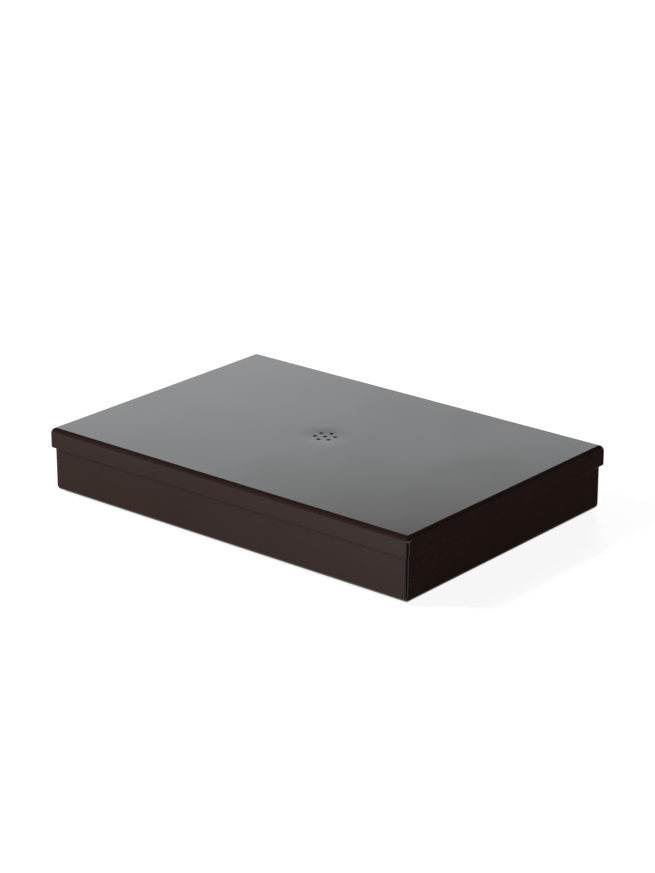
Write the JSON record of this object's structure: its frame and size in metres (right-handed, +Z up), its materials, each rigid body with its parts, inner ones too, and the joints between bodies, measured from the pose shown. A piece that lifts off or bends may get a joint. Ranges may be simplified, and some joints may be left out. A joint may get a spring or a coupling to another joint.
{
  "type": "cable tray",
  "caption": "Flat lidded cable tray in folded sheet steel, with a lift-off lid vented at its middle, a rubber-lined cable outlet in the rear wall and rubber feet.",
  "frame": {"origin": "on the surface that the feet stand on, under the middle of the tray", "axes": "+X along the length, +Y towards the rear wall with the cable outlet, +Z up, the way the lid lifts"},
  "size_m": [0.36, 0.248, 0.0545],
  "materials": {
    "powder_coated_steel": "dark brown semi-gloss powder coat on sheet steel",
    "rubber_trim": "matt black moulded rubber",
    "rubber_foot": "matt black moulded rubber"
  },
  "bodies": {
    "base": {"tray": "powder_coated_steel", "outlet_trim": "rubber_trim", "foot_front_left": "rubber_foot", "foot_front_right": "rubber_foot", "foot_rear_left": "rubber_foot", "foot_rear_right": "rubber_foot"},
    "lid": {"lid": "powder_coated_steel"}
  },
  "joints": [
    {"name": "lid_lift", "type": "slide", "parent": "base", "child": "lid", "axis": [0, 0, 1], "range_m": [0, 0.08]}
  ]
}
